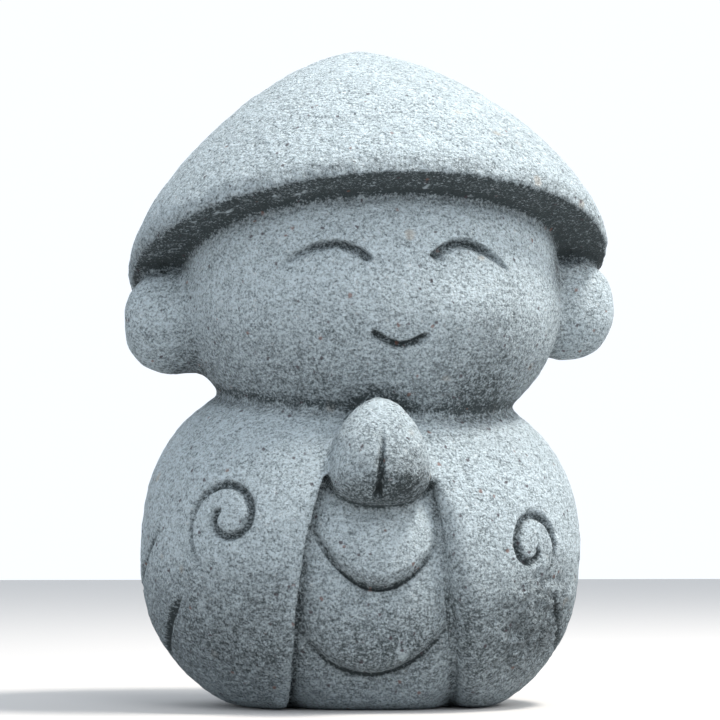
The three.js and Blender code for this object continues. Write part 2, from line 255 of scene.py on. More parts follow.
def hat_distance(points):
    """The table's distance at points, blended between its four nearest entries."""
    local = back_into(points, hat_place)
    x = local[:, 0] - HAT_TOP_SHIFT * np.maximum(local[:, 2], 0) / HAT_HEIGHT
    out = np.hypot(x, local[:, 1] * HAT_HALF_WIDTH / HAT_HALF_DEPTH) / TABLE_STEP
    up = (local[:, 2] - TABLE_LOW) / TABLE_STEP
    out = np.clip(out, 0, hat_table.shape[0] - 1.001)
    up = np.clip(up, 0, hat_table.shape[1] - 1.001)
    i, j = out.astype(int), up.astype(int)
    u, v = out - i, up - j
    near = hat_table[i, j] * (1 - v) + hat_table[i, j + 1] * v
    far = hat_table[i + 1, j] * (1 - v) + hat_table[i + 1, j + 1] * v
    return near * (1 - u) + far * u


# %% [markdown]
# ## Front panel and its folds
# Between the robe's two edges a panel of under-robe is sunk in. Its folds hang like shallow bowls, each one
# swelling towards a rolled lip and stepping back under it. The step is a saw-tooth read down the panel,
# between sagging lines, and it is taken off the same egg as the robe, so that the folds follow the belly.

# %% Front panel
PANEL_LEFT, PANEL_RIGHT, PANEL_TOP = 13.3, 13.6, 40.0
PANEL_CURVE_START = 10.0
PANEL_LEFT_TAPER, PANEL_RIGHT_TAPER = 5.3, 6.0
PANEL_SINK, FOLD_SINK, FOLD_LIP, FOLD_CRESTS, FOLD_SPREAD = 3.2, 0.6, 2.2, 0.8, 3
PANEL_FLOOR = -8.0
PANEL_RAMP = 5.0
PANEL_UNDER_EDGE = 0.5
FOLDS = [(0.825, -0.015, 0.354), (0.494, -0.015, 0.354), (0.148, -0.075, 0.23), (-0.2, -0.075, 0.133)]
LEFT_EDGE_ROUND, RIGHT_EDGE_ROUND, LEAST_EDGE_ROUND = 0.9, 5.0, 0.2


def fold_line(fold, x):
    """The height of a fold's line from its lowest height, where that is, and how fast it rises beside it."""
    height, middle, sag = fold
    return PANEL_TOP * (height + sag * (x / PANEL_LEFT - middle) ** 2)


def panel_sides(z):
    up = share((z - PANEL_CURVE_START) / (PANEL_TOP - PANEL_CURVE_START))
    return PANEL_LEFT_TAPER * up * up - PANEL_LEFT, PANEL_RIGHT - PANEL_RIGHT_TAPER * z / PANEL_TOP


def panel_sink(x, z):
    """How deep the panel lies under the robe's egg."""
    left, right = panel_sides(z)
    across = (2 * x - left - right) / (right - left)
    swell = 1 - share(np.abs(across)) ** FOLD_SPREAD
    proud = np.zeros(x.shape)
    for upper, lower in zip(FOLDS, FOLDS[1:]):
        top, drop = fold_line(upper, x), PANEL_TOP * (upper[0] - lower[0])
        down = (top - z) / (top - fold_line(lower, x))
        crest = np.sin(share(down / FOLD_CRESTS) * math.pi / 2)
        to_lip = share((1 - down) * drop / FOLD_LIP)
        rolled = np.sqrt(1 - (1 - to_lip) ** 2)
        proud = np.where((down >= 0) & (down < 1), (PANEL_SINK - FOLD_SINK) * crest * rolled, proud)
    return (PANEL_SINK - proud * swell) * np.sqrt(share((PANEL_TOP - z) / PANEL_RAMP))


def beside_panel(x, z):
    """How far outside the panel's two edges a point is, negative between them."""
    left, right = panel_sides(z)
    return np.maximum(left - x, x - right)


print("panel's edges at its top, mm:", *np.round(panel_sides(PANEL_TOP), 1))

# %% [markdown]
# ## Hands
# The hands are pressed together into a bud that stands off the chest. Their place comes from the robe's
# front at that height, found by halving, so they can't float off or drown if the robe changes.


# %% Hands
HALVINGS = 40
FRONT_REACH = 80.0


def robe_front(x, z):
    near, far = 0.0, FRONT_REACH
    for _ in range(HALVINGS):
        middle = (near + far) / 2
        point = back_into(np.array([[x, -middle, z]]), robe_place)
        if robe_level(point)[0] < 1:
            near = middle
        else:
            far = middle
    return -near


hands_front = robe_front(HANDS_SHIFT, HANDS_HEIGHT) + HANDS_SINK
hands_place = moved(HANDS_SHIFT, hands_front, HANDS_HEIGHT) @ turned("X", HANDS_LEAN)
print("hands stand at, mm:", round(hands_front, 2))

# %% [markdown]
# ## The whole figure as one distance
# Now the masses are joined in the order a modeller would press them together. Seams are soft where the cast
# is soft, such as under the left ear, and tight where the mould was crisp, such as the panel's left edge.

# %% The whole figure
HAT_SEAM, NECK_SEAM, HANDS_SEAM, FOLD_SEAM, BASE_ROUND = 1.4, 2.0, 1.2, 0.4, 1.4


def head_distance(points):
    local = back_into(points, face_place)
    whole = distance(head_level(local), local)
    for ear in (LEFT_EAR, RIGHT_EAR):
        place = head_place @ moved(ear["side"] * (HEAD["width"] + ear["stand"]), EAR_BACK, -ear["drop"])
        local = back_into(points, place)
        whole = soft_join(whole, distance(egg_level(local, EAR), local), ear["blend"])
    return whole


def robe_distance(points):
    x, y, z = points.T
    local = back_into(points, robe_place)
    skin = distance(robe_level(local), local)
    beside = beside_panel(x, z)
    channel = np.maximum(np.maximum(beside, y - PANEL_FLOOR), z - PANEL_TOP)
    most = np.where(x < 0, LEFT_EDGE_ROUND, RIGHT_EDGE_ROUND)
    edge = LEAST_EDGE_ROUND + most * share((PANEL_TOP - z) / (2 * PANEL_RAMP))
    body = soft_cut(skin, channel, edge)
    panel = np.maximum(skin + panel_sink(x, z), beside - PANEL_UNDER_EDGE)
    panel = np.maximum(panel, z - PANEL_TOP)
    return soft_join(body, panel, FOLD_SEAM)


def hands_distance(points):
    local = back_into(points, hands_place)
    return distance(egg_level(local, HANDS), local)


def figure_distance(points, hands=True):
    whole = soft_join(head_distance(points), hat_distance(points), HAT_SEAM)
    whole = soft_join(whole, robe_distance(points), NECK_SEAM)
    if hands:
        whole = soft_join(whole, hands_distance(points), HANDS_SEAM)
    return soft_cut(whole, points[:, 2], BASE_ROUND)


print("figure's middle lies this deep inside, mm:", figure_distance(np.array([FIGURE_MIDDLE])).round(1))

# %% [markdown]
# ## From distance to skin
# The distance is sampled on a fine lattice and skinned with quads where it changes sign. A coarse lattice
# comes first, and only cells near the skin are sampled again finely, which saves about three quarters of the
# work. The quads' corners are then slid onto the true surface along its slope, so the skin isn't stepped.

# %% From distance to skin
CELL = 0.83
COARSE = 5
BAND = 5.0
BATCHES = 12
LEAST_SLOPE, LONGEST_SLIDE = 0.5, 0.5
box_low, box_high = np.array((-46.0, -46.0, -3.0)), np.array((46.0, 50.0, 116.0))
box_cells = np.ceil((box_high - box_low) / (CELL * COARSE)).astype(int)


def lattice(counts, step):
    return np.stack(np.meshgrid(*(np.arange(n) for n in counts), indexing="ij"), -1).reshape(-1, 3) * step


coarse_points = box_low + (lattice(box_cells, COARSE) + (COARSE - 1) / 2) * CELL
coarse = figure_distance(coarse_points).reshape(box_cells)
field = np.repeat(np.repeat(np.repeat(coarse, COARSE, 0), COARSE, 1), COARSE, 2)
wanted = np.argwhere(np.abs(field) < BAND)
for part in np.array_split(wanted, BATCHES):
    field[tuple(part.T)] = figure_distance(box_low + part * CELL)
grid = openvdb.FloatGrid(BAND)
grid.copyFromArray(field.astype(np.float32))
corners, quads = grid.convertToQuads(0.0)
corners = box_low + np.array(corners, float) * CELL
quads = np.array(quads)
print("lattice:", field.shape, "sampled:", len(wanted), "quads:", len(quads))


def slope(points, step=0.05):
    """The figure's outward direction at points, from differences on the three axes."""
    parts = [figure_distance(points + axis) - figure_distance(points - axis) for axis in np.eye(3) * step]
    steep = np.stack(parts, -1) / (2 * step)
    size = np.linalg.norm(steep, axis=1, keepdims=True)
    return steep / np.maximum(size, TINY), size[:, 0]


def settled(points, rounds=3):
    """Points slid onto the figure's skin along its slope, a short way at a time."""
    for _ in range(rounds):
        way, size = slope(points)
        off = figure_distance(points) / np.maximum(size, LEAST_SLOPE)
        points = points - way * np.clip(off, -LONGEST_SLIDE, LONGEST_SLIDE)[:, None]
    return points


mesh = bpy.data.meshes.new("jizo")
mesh.from_pydata(settled(corners).tolist(), [], quads.tolist())
mesh.update()
print("skin corners:", len(mesh.vertices))

# %% [markdown]
# ## Carved lines
# Eyes, mouth, the cleft of the palms, the two swirls, the sleeve and back folds and the undersides of the
# panel's folds are lines cut into the skin. Each is a curve drawn on the surface: arches for the face,
# opening spirals for the swirls. Near the lines the skin is divided twice more, then its points are pushed
# in by a groove that is steep on one side and soft on the other.

# %% Where the lines lie
EYES = [
    dict(peak=(-0.316, 0.266), inner=(0.193, 0.095), outer=(0.282, 0.123), side=-1),
    dict(peak=(0.335, 0.266), inner=(0.165, 0.085), outer=(0.266, 0.158), side=1),
]
MOUTH = dict(peak=(0.013, -0.25), inner=(0.14, -0.055), outer=(0.146, -0.07), side=-1, bend=1.6)
LEFT_COIL = dict(coil=0.059, tail=0.183, start=0.5, bend=25, turns=(150, 615), power=3.4)
RIGHT_COIL = dict(coil=0.072, tail=0.174, start=0.2, bend=30, turns=(-133, 267), power=7.5)
SWIRLS = [
    dict(bearing=-44.4, height=0.537, side=-1, **LEFT_COIL),
    dict(bearing=47.0, height=0.51, side=1, **RIGHT_COIL),
]
SLEEVE_LINES = [
    ((-70, 0.503), (-98, 0.305), 0.045),
    ((-60, 0.305), (-92, 0.117), 0.045),
    ((57, 0.368), (88, 0.153), 0.045),
    ((74, 0.503), (100, 0.305), 0.045),
]
BACK_LINES = [((150, 0.467), (210, 0.467), 0.09), ((146, 0.251), (214, 0.251), 0.09)]
CLEFT_TOP, CLEFT_LENGTH, CLEFT_LEAN = 5.4, 10.9, 0.9
LIP_INSET, LIP_DROP = 0.8, 0.2
RAY_REACH = 120.0
FORWARD = np.array((0, -1.0, 0))
print("lines round the robe:", len(SWIRLS) + len(SLEEVE_LINES) + len(BACK_LINES))


# %% Curves on the surface
def shot(level, starts, way):
    """Where rays from inside a mass leave it, found by halving."""
    near, far = np.zeros(len(starts)), np.full(len(starts), RAY_REACH)
    for _ in range(HALVINGS):
        middle = (near + far) / 2
        inside = level(starts + way * middle[:, None]) < 1
        near, far = np.where(inside, middle, near), np.where(inside, far, middle)
    return starts + way * near[:, None]


def arch(peak, inner, outer, side, bend=2.0, steps=60):
    """A bow on the face: its peak and each half's width and drop are shares of the head's half width."""
    along = np.linspace(-1, 1, steps)
    width, drop = (np.where(along < 0, outer[k], inner[k]) for k in (0, 1))
    starts = np.zeros((steps, 3))
    starts[:, 0] = (peak[0] - side * along * width) * HEAD["width"]
    starts[:, 2] = (peak[1] - drop * np.abs(along) ** bend) * HEAD["width"]
    return carried(shot(head_level, starts, FORWARD), face_place)


def on_robe(bearing, height):
    """Places on the robe at bearings from its front and heights that are shares of the robe's own."""
    turn = np.radians(bearing)
    way = np.stack((np.sin(turn), -np.cos(turn), 0 * turn), -1)
    starts = np.zeros((len(turn), 3))
    starts[:, 2] = height * ROBE_TOP - ROBE_WIDEST_HEIGHT
    return shot(robe_level, starts, way)


def swirl(bearing, height, side, coil, tail, start, bend, turns, power, steps=160):
    """A curl that soon reaches its coil's radius, holds it and then runs out into a wide tail."""
    gone = np.linspace(0, 1, steps)
    turn = turns[0] + (turns[1] - turns[0]) * gone
    radius = coil * (1 - (1 - start) * np.exp((turns[0] - turn) / bend))
    radius += (tail - coil) * gone**power
    middle = on_robe(np.array([bearing]), np.array([height]))[0]
    across = -side * radius * np.cos(np.radians(turn)) * ROBE_TOP
    bearings = bearing + np.degrees(across / math.hypot(middle[0], middle[1]))
    return carried(on_robe(bearings, height + radius * np.sin(np.radians(turn))), robe_place)


def bowed(start, end, bow, steps=80):
    """A sagging line on the robe between two places."""
    gone = np.linspace(0, 1, steps)
    bearings = start[0] + (end[0] - start[0]) * gone
    heights = start[1] + (end[1] - start[1]) * gone - bow * np.sin(gone * math.pi)
    return carried(on_robe(bearings, heights), robe_place)


def hands_level(points):
    return egg_level(points, HANDS)


def cleft(steps=60):
    """The line between the palms, from the fingers down."""
    gone = np.linspace(0, 1, steps)
    starts = np.stack((-CLEFT_LEAN * np.sqrt(gone), 0 * gone, CLEFT_TOP - CLEFT_LENGTH * gone), -1)
    return carried(shot(hands_level, starts, FORWARD), hands_place)


def under_lip(fold, steps=60):
    """The line just under a fold's lip, from one edge of the panel to the other."""
    left, right = panel_sides(np.array(fold[0] * PANEL_TOP))
    x = np.linspace(left + LIP_INSET, right - LIP_INSET, steps)
    starts = np.stack((x, 0 * x, fold_line(fold, x) - LIP_DROP), -1)
    return shot(lambda points: 1 + robe_distance(points), starts, FORWARD)


print("cleft runs down to, mm:", cleft()[-1].round(1))

# %% [markdown]
# Each line has a width above it, a width below it and a depth, and thins out at its ends by its own amount.

# %% The list of lines
FADE_POWER = 0.7
STEEP_WALL = 1.6
SLEEVE_CUT = dict(above=0.8, below=1.3, depth=0.9, fade=(0.2, 0.3))
BACK_CUT = dict(above=0.8, below=1.3, depth=0.7, fade=(0.25, 0.25))
cuts = []


def cut(points, above, below, depth, fade, up=1, soft=STEEP_WALL, lip=0.0):
    """A line to carve: two widths, a depth, the shares of its length that fade, a wall's power and a lip."""
    gone = np.linspace(0, 1, len(points))
    strength = np.minimum(share(gone / fade[0]), share((1 - gone) / fade[1])) ** FADE_POWER
    sides = dict(above=above, below=below, depth=depth, up=up, soft=soft, lip=lip)
    cuts.append(dict(points=points, strength=strength, **sides))


cut(arch(**EYES[0]), above=0.5, below=1.5, depth=1.5, fade=(0.4, 0.05), up=-1, soft=1.4, lip=0.15)
cut(arch(**EYES[1]), above=0.55, below=1.5, depth=1.6, fade=(0.3, 0.03), up=1, soft=1.8, lip=0.45)
cut(arch(**MOUTH), above=0.5, below=1.0, depth=1.3, fade=(0.06, 0.12), up=-1)
cut(cleft(), above=0.9, below=0.8, depth=1.7, fade=(0.9, 0.01))
for shape in SWIRLS:
    cut(swirl(**shape), above=0.9, below=0.9, depth=1.15, fade=(0.04, 0.3))
for fold in FOLDS[1:3]:
    cut(under_lip(fold), above=0.4, below=0.45, depth=0.45, fade=(0.35, 0.25), up=-1)
for start, end, bow in SLEEVE_LINES:
    cut(bowed(start, end, bow), **SLEEVE_CUT, up=math.copysign(1, end[0]))
for start, end, bow in BACK_LINES:
    cut(bowed(start, end, bow), **BACK_CUT)
print("lines to carve:", len(cuts))

# %% [markdown]
# The skin gets finer cells near the lines, at sharp turns and in one place low on the robe that was knocked
# and has lost flakes. Each worn place has a middle, a size and an amount, and the first is the knocked one.

# %% Finer skin near the lines
KNOCKED = ((26.5, -19.5, 14.0), 9.0, 3.0)
WORN = [
    KNOCKED,
    ((-22.0, -24.0, 12.0), 12.0, 1.2),
    ((20.0, -24.0, 60.0), 8.0, 0.7),
    ((5.0, -35.0, 36.0), 4.0, 2.0),
]
CHIP_REACH = 9.0
FINE_BAND, FINEST_BAND = 1.8, 1.08
SHARP_TURN = 0.8


def points_of(data):
    flat = np.empty(len(data.vertices) * 3)
    data.vertices.foreach_get("co", flat)
    return flat.reshape(-1, 3)


tree = KDTree(sum(len(line["points"]) for line in cuts))
owners = []
for number, line in enumerate(cuts):
    for index, point in enumerate(line["points"]):
        tree.insert(point, len(owners))
        owners.append((number, index))
tree.balance()


def refine(data, close):
    """The faces whose corners are all close are divided once, and every corner is settled again."""
    work = bmesh.new()
    work.from_mesh(data)
    edges = [e for e in work.edges if close[e.verts[0].index] and close[e.verts[1].index]]
    bmesh.ops.subdivide_edges(work, edges=edges, cuts=1, use_grid_fill=True)
    bmesh.ops.triangulate(work, faces=[f for f in work.faces if len(f.verts) > 4])
    work.to_mesh(data)
    work.free()
    data.vertices.foreach_set("co", settled(points_of(data), rounds=2).reshape(-1))
    data.update()


def near_lines(points, band):
    return np.array([tree.find(point)[2] < band for point in points])


def at_sharp_turns(data):
    """True on corners where the skin turns sharply within one cell: rim, lips and the panel's edge."""
    ways, _ = slope(points_of(data), step=0.02)
    pairs = np.empty(len(data.edges) * 2, int)
    data.edges.foreach_get("vertices", pairs)
    pairs = pairs.reshape(-1, 2)
    turn = (ways[pairs[:, 0]] * ways[pairs[:, 1]]).sum(1) < math.cos(SHARP_TURN)
    close = np.zeros(len(data.vertices), bool)
    close[pairs[turn]] = True
    for _ in range(2):
        spread = close[pairs].any(1)
        close[pairs[spread]] = True
    return close


skin = points_of(mesh)
chipped = np.linalg.norm(skin - KNOCKED[0], axis=1) < CHIP_REACH
refine(mesh, near_lines(skin, FINE_BAND) | at_sharp_turns(mesh) | chipped)
print("corners after the first refining:", len(mesh.vertices))
refine(mesh, near_lines(points_of(mesh), FINEST_BAND))
skin = points_of(mesh)
print("corners after the second:", len(skin))

# %% [markdown]
# ## Cutting the lines and roughening the skin
# All small relief is a push along the skin's own outward direction: the grooves first, then the cheeks, the
# chips and the unevenness of the cast. More of it goes in than out, so the figure stays in the solid's box.

# %% Cut the lines
THIN_END = 0.45
LIP_AT, LIP_SPREAD = 1.18, 0.16
# where the painted shade inside a groove ends and how fast it fades out
GROOVE_SHADE_EDGE, GROOVE_SHADE_FADE = 0.95, 0.5
ways, _ = slope(skin)
push = np.zeros(len(skin))
groove = np.zeros(len(skin))
for number, point in enumerate(skin):
    near, owner, gap = tree.find(point)
    if gap > FINE_BAND:
        continue
    line, index = cuts[owners[owner][0]], owners[owner][1]
    curve = line["points"]
    last = len(curve) - 1
    ahead = curve[min(index + 1, last)] - curve[max(index - 1, 0)]
    across = np.cross(ahead / np.linalg.norm(ahead), ways[number])
    offset = np.dot(across, point - curve[index])
    beyond = gap * gap - offset * offset if index in (0, last) else 0.0
    lower = offset * line["up"] <= 0
    strength = line["strength"][index]
    width = line["below" if lower else "above"] * (THIN_END + (1 - THIN_END) * strength)
    reach = math.hypot(offset / width, math.sqrt(max(beyond, 0.0)) / line["above"])
    wall = line["soft"] if lower else STEEP_WALL
    push[number] -= line["depth"] * strength * max(0.0, 1 - reach**wall)
    push[number] += line["lip"] * strength * lower * math.exp(-(((reach - LIP_AT) / LIP_SPREAD) ** 2))
    # groove is painted shade inside a cut line, darkest along its middle
    groove[number] = strength * min(1.0, max(0.0, (GROOVE_SHADE_EDGE - reach) / GROOVE_SHADE_FADE))
print("deepest cut, mm:", round(push.min(), 2), "grooved corners:", int((groove > 0.1).sum()))

# %% [markdown]
# Shade is painted into the colour too: in nooks, on undersides, in a band low on the robe and in a few
# spots.
# A nook is found by stepping off the skin: the less room there is, the deeper the nook and the darker its
# painted shade. What the hands cover counts for less than half, so the painted shade round them stays light.
# The panel and the ears get less of it below, and painted shadows of the hat and the cheek lie as spots.

# %% Where painted shade lies
NOOK_STEPS = [(0.6, 0.35), (1.5, 0.4), (3.5, 0.3)]
HANDS_PART = 0.4
# extra painted shade in the neck crease: its amount, how far below the robe's top and how wide
NECK_SHADE, NECK_DROP, NECK_SPREAD = 0.4, 6.0, 5.0
# painted shade on undersides: its power, less near the ground, more high up under the hat, less on the panel
# and the ears
UNDER_POWER = 0.7
GROUND_LIGHT, GROUND_REACH = 0.65, 7.0
HAT_SHADE, HAT_SHADE_FROM, HAT_SHADE_FADE = 0.6, 68.0, 8.0
PANEL_LESS_SHADE, PANEL_LESS_SHADE_REACH, PANEL_LESS_SHADE_FADE, PANEL_LESS_SHADE_DROP = 0.55, 3.0, 2.0, 3.0
PANEL_OPEN_STEP = 4.0
HANDS_CLEAR = 0.8
EARS_LESS_SHADE, EARS_FROM, EARS_FADE, EARS_DROP, EARS_HALF_HEIGHT = 0.6, 30.9, 3.0, 4.0, 10.0
# a band of painted shade low on the robe: its amount, its height and its width
LOW_SHADE, LOW_SHADE_HEIGHT, LOW_SHADE_SPREAD = 0.35, 13.5, 10.5
# spots of painted shadow, each a middle, a size and an amount: on and beside the hands, the hat's shadow on
# the right temple, under the chin on both sides and low on the panel
SHADE_SPOTS = [
    ((5.0, -35.0, 35.5), 4.5, 0.45),
    ((0.0, -37.0, 39.0), 7.0, 0.6),
    ((31.5, -9.0, 72.0), 5.0, 1.1),
    ((8.3, -29.5, 41.5), 2.6, 0.25),
    ((8.6, -28.0, 46.0), 2.6, 0.6),
    ((18.0, -21.0, 49.5), 7.0, 0.6),
    ((-8.0, -24.0, 52.0), 9.0, 0.15),
    ((2.0, -30.0, 8.0), 13.0, 0.5),
]


def bell(off, spread):
    """1 where off is 0, falling away smoothly on both sides."""
    return np.exp(-((off / spread) ** 2))


def patches(spots):
    """Soft round spots, each with a middle, a size and an amount, summed on every corner."""
    return sum(amount * np.exp(-(((skin - place) / size) ** 2).sum(1)) for place, size, amount in spots)


print("shade_spots:", len(SHADE_SPOTS))

# %% Nooks and undersides
sideways, outward, upward = skin.T
on_panel = share((PANEL_LESS_SHADE_REACH - beside_panel(sideways, upward)) / PANEL_LESS_SHADE_FADE)
on_panel *= (outward < 0) * (upward < PANEL_TOP - PANEL_LESS_SHADE_DROP) * (hands_distance(skin) > HANDS_CLEAR)
on_ears = share((np.abs(sideways) - EARS_FROM) / EARS_FADE)
on_ears *= np.abs(upward - HEAD_HEIGHT + EARS_DROP) < EARS_HALF_HEIGHT
# nook is painted shade in creases and recesses: the less room in front of the skin, the darker the colour
nook = np.zeros(len(skin))
for step, weight in NOOK_STEPS:
    for hands, part in ((True, HANDS_PART), (False, 1 - HANDS_PART)):
        free = figure_distance(skin + ways * step, hands)
        nook += part * weight * share(1 - free / step) * (1 - on_panel * share(step / PANEL_OPEN_STEP))
# more painted shade round the neck crease
nook *= 1 + NECK_SHADE * bell(upward - ROBE_TOP + NECK_DROP, NECK_SPREAD)
# under is painted shade on skin that faces down: less near the ground, more high up under the hat, less on
# the panel and the ears
under = share(-ways[:, 2]) ** UNDER_POWER
under *= 1 - GROUND_LIGHT * np.exp(-upward / GROUND_REACH)
under *= 1 + HAT_SHADE * share((upward - HAT_SHADE_FROM) / HAT_SHADE_FADE)
under *= (1 - PANEL_LESS_SHADE * on_panel) * (1 - EARS_LESS_SHADE * on_ears)
# the band of painted shade low on the robe and the spots of painted shadow are added on top
under += LOW_SHADE * bell(upward - LOW_SHADE_HEIGHT, LOW_SHADE_SPREAD) + patches(SHADE_SPOTS)
print("mean nook:", round(nook.mean(), 3), "deepest:", round(nook.max(), 2))

# %% [markdown]
# The cheeks swell below the eyes. The skin is uneven everywhere, with lumps from 1 to 20 mm long, and
# rougher where it was knocked: along the hat's rim and on the worn places. Flakes are gone from the knocked
# one.

# %% Cheeks and worn places
CHEEKS = [(-0.3, 0.03, 0.4), (0.42, -0.08, 1.0)]
CHEEK_SIZE, CHEEK_SQUASH = 7.0, 1.3
RIM_WORN, RIM_WORN_SPREAD, RIM_MIDDLE = 1.2, 2.0, 1.0
local = back_into(skin, hat_place)
rim_out = np.hypot(local[:, 0], local[:, 1] * HAT_HALF_WIDTH / HAT_HALF_DEPTH) - HAT_HALF_WIDTH
worn = patches(WORN) + RIM_WORN * bell(np.hypot(rim_out, local[:, 2] + RIM_MIDDLE), RIM_WORN_SPREAD)
for across, up, height in CHEEKS:
    middle = np.array((across, 0, up)) * HEAD["width"]
    local = back_into(skin, face_place) - middle
    off = local[:, 0] ** 2 + (CHEEK_SQUASH * local[:, 2]) ** 2
    push += height * np.exp(-off / (2 * CHEEK_SIZE**2)) * (local[:, 1] < 0)
print("most worn:", round(worn.max(), 2))

# %% Roughen
CHIPS = [(0.3, 0.6), (0.7, 0.35)]
CHIP_STEEPNESS, LEAST_CHIPPED = 5, 0.01
ROUGH = [(0.05, 0.25), (0.17, 0.2), (0.5, 0.2), (0.9, 0.12)]
ROUGH_SWING, ROUGH_SINK = 0.6, 0.3
WORN_FINER_THAN = 0.1
FOOT_HEIGHT = 0.6
place, size, _ = KNOCKED
chipped = np.exp(-(((skin - place) / size) ** 4).sum(1))
for number, point in enumerate(skin):
    here = Vector(point)
    for scale, depth in CHIPS:
        if chipped[number] > LEAST_CHIPPED:
            push[number] -= depth * chipped[number] * share(CHIP_STEEPNESS * noise.noise(here * scale))
    for scale, height in ROUGH:
        more = 1 + worn[number] * (scale > WORN_FINER_THAN)
        push[number] += height * (ROUGH_SWING * more * noise.noise(here * scale) - ROUGH_SINK)
push *= share(skin[:, 2] / FOOT_HEIGHT)
skin = skin + ways * push[:, None]
print("relief from, to, mm:", round(push.min(), 2), round(push.max(), 2))

# %% [markdown]
# ## Into the frame
# The figure was drawn around its own axis, while the solid's origin lies under the middle of its box. The
# same shift is applied here: the smooth surface's box is centred as the solid's is.

# %% Into the frame
smooth = settled(points_of(mesh), rounds=2)
middle = (smooth.min(0) + smooth.max(0)) / 2
shift = ((low + high) / 2 / MM - middle) * (1, 1, 0)
skin = (skin + shift) * MM
skin[:, 2] = np.maximum(skin[:, 2], 0.0)
mesh.vertices.foreach_set("co", skin.reshape(-1))
for name, values in dict(groove=groove, nook=nook, under=under, worn=worn).items():
    mesh.attributes.new(name, "FLOAT", "POINT").data.foreach_set("value", values)
mesh.polygons.foreach_set("use_smooth", np.ones(len(mesh.polygons), bool))
mesh.update()
figure = bpy.data.objects.new("jizo_figure", mesh)
bpy.context.collection.objects.link(figure)
print("shift, mm:", np.round(shift, 2), "triangles:", sum(len(p.vertices) - 2 for p in mesh.polygons))

# %% [markdown]
# ## Shader arithmetic
# A finish is a sum of simple patterns. One small class lets a socket be written about like a number, so
# that a line of the recipe reads as arithmetic, and one method makes every other node.


# %% Shader arithmetic
class Socket:
    def __init__(self, recipe, socket):
        self.recipe, self.socket = recipe, socket

    def math(self, operation, *others, first=None):
        values = [self, *others] if first is None else [first, self]
        sockets = dict(enumerate(values))
        return self.recipe.node("ShaderNodeMath", dict(operation=operation), sockets)

    def __add__(self, other):
        return self.math("ADD", other)

    def __sub__(self, other):
        return self.math("SUBTRACT", other)

    def __rsub__(self, other):
        return self.math("SUBTRACT", first=other)

    def __mul__(self, other):
        return self.math("MULTIPLY", other)

    __radd__, __rmul__ = __add__, __mul__

    def between(self, start, end):
        """0 at start, 1 at end, eased between; start may be the larger one."""
        settings = dict(interpolation_type="SMOOTHSTEP", clamp=True)
        sockets = {"Value": self, "From Min": start, "From Max": end}
        return self.recipe.node("ShaderNodeMapRange", settings, sockets)


class Recipe:
    def __init__(self, name):
        self.material = bpy.data.materials.new(name)
        self.material.use_nodes = True
        self.tree = self.material.node_tree
        self.shader = self.tree.nodes["Principled BSDF"]

    def node(self, kind, settings=None, sockets=None, out=0):
        made = self.tree.nodes.new(kind)
        for name, value in (settings or {}).items():
            setattr(made, name, value)
        for name, value in (sockets or {}).items():
            self.feed(made.inputs[name], value)
        return Socket(self, made.outputs[out])

    def feed(self, target, value):
        if isinstance(value, Socket):
            self.tree.links.new(value.socket, target)
        else:
            target.default_value = value

    def blend(self, amount, first, second):
        """Colours mixed by an amount from 0 to 1."""
        settings = dict(data_type="RGBA", blend_type="MIX", clamp_factor=True)
        return self.node("ShaderNodeMix", settings, {0: amount, 6: first, 7: second}, out=2)


# %% [markdown]
# ## Stone resin
# The resin is filled with crushed granite, a crowd of grains: pale quartz and feldspar, dark grey paste,
# black mica and a few rusty bits. Each crowd is a cell pattern, where every cell draws its own number and
# only some of them turn into a grain. All patterns are measured in millimetres of the object, so the grain
# keeps its size on hat and hands alike. A wandering shift makes the cells ragged, as broken stone is.

# %% Patterns of the stone
WANDER_SCALE, WANDER_REACH = 1.6, 0.6
GRAIN_EDGE = 0.12
stone = Recipe("stone_resin")
place_mm = stone.node("ShaderNodeTexCoord", out="Object")
place_mm = stone.node("ShaderNodeVectorMath", dict(operation="SCALE"), {0: place_mm, "Scale": 1 / MM})


def clouds(size, detail=2.0, rough=0.5, where=None):
    """Soft noise whose lumps are about size mm wide, around 0.5."""
    sockets = {"Vector": where or place_mm, "Scale": 1 / size, "Detail": detail, "Roughness": rough}
    return stone.node("ShaderNodeTexNoise", None, sockets)


wander = {"Vector": place_mm, "Scale": WANDER_SCALE, "Detail": 2.0}
wander = stone.node("ShaderNodeTexNoise", None, wander, out="Color")
wander = stone.node("ShaderNodeVectorMath", dict(operation="SCALE"), {0: wander, "Scale": WANDER_REACH})
ragged = stone.node("ShaderNodeVectorMath", dict(operation="ADD"), {0: place_mm, 1: wander})


def grains(size, part, radius=0.42):
    """1 on a chosen part of the cells of a pattern with cells of a size in mm, 0 elsewhere."""
    sockets = {"Vector": ragged, "Scale": 1 / size, "Randomness": 1.0}
    cell = stone.node("ShaderNodeTexVoronoi", dict(feature="F1"), sockets, out="Color")
    draw = stone.node("ShaderNodeSeparateColor", None, {0: cell})
    near = stone.node("ShaderNodeTexVoronoi", dict(feature="F1"), sockets, out="Distance")
    return draw.between(part, part * 0.9) * near.between(radius + GRAIN_EDGE, radius - GRAIN_EDGE)


def painted(name):
    """A value that was worked out for every corner of the skin."""
    return stone.node("ShaderNodeAttribute", dict(attribute_name=name), out="Fac")


print("nodes for the patterns:", len(stone.tree.nodes))

# %% [markdown]
# Paste and pale stone are mixed by fine noise and by flat lumps. Single white and sandy grains come next,
# then the painted shade with a little darkening of wear, which spares the palest grains, and on top of it a
# few pale stained patches and the dark and rusty grains.

# %% Stone resin
PASTE = (0.07, 0.094, 0.103, 1)
PALE = (0.55, 0.65, 0.71, 1)
